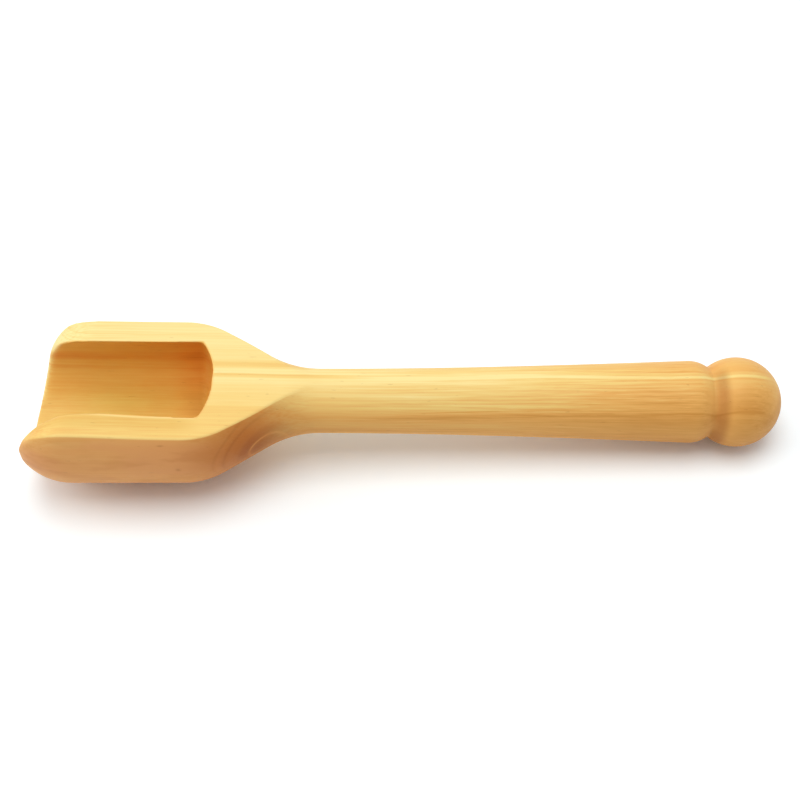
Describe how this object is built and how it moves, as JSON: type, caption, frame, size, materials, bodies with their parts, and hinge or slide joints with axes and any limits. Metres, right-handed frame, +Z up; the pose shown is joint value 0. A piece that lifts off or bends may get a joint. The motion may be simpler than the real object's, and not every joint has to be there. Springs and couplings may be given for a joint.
{
  "type": "salt scoop",
  "caption": "Turned wooden salt scoop: half-round bowl with a planed flat and a bored hollow, ogee neck, swelling handle and ball knob.",
  "frame": {"origin": "on the table, under the middle of the scoop as it lies at rest on its bowl and knob", "axes": "+X from the bowl's mouth to the knob, +Z up away from the table, the flat and the hollow facing up"},
  "size_m": [0.1502, 0.0322, 0.0245],
  "materials": {
    "boxwood": "sanded smooth, satin, unvarnished"
  },
  "bodies": {
    "root": {"scoop": "boxwood"}
  },
  "joints": []
}
